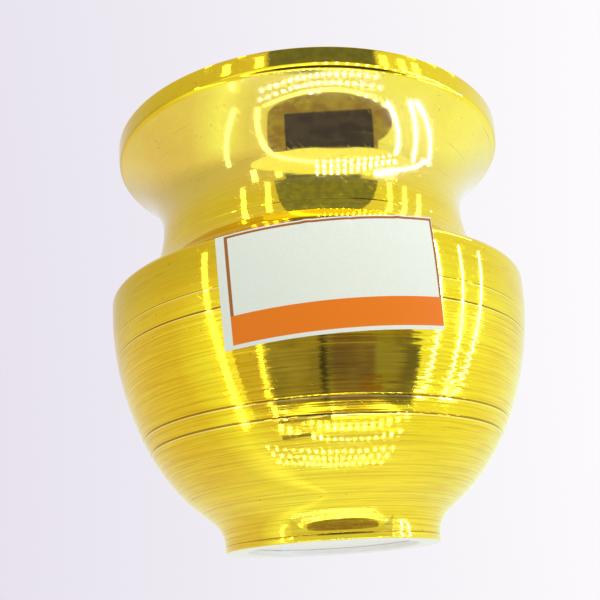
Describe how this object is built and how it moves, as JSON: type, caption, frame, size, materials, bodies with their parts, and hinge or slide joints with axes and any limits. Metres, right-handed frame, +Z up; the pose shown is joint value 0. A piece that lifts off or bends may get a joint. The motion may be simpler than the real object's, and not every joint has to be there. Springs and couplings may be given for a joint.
{
  "type": "brass kalash pot",
  "caption": "Small lathe-turned brass kalash with a flared mouth, narrow neck, round belly with turned lines, low foot and a blank paper label.",
  "frame": {"origin": "on the turning axis, at the level of the surface that the pot stands on", "axes": "+Z up along the turning axis, -Y towards the front, where the label is"},
  "size_m": [0.11, 0.1106, 0.1107],
  "materials": {
    "brass": "polished, with fine lathe lines",
    "braze": "as brazed, dull",
    "label_paper": "printed white paper with an orange band"
  },
  "bodies": {
    "root": {"base_ring": "brass", "lower_bowl": "brass", "upper_body": "brass", "neck_and_mouth": "brass", "belly_seam_braze": "braze", "neck_seam_braze": "braze", "paper_label": "label_paper"}
  },
  "joints": []
}
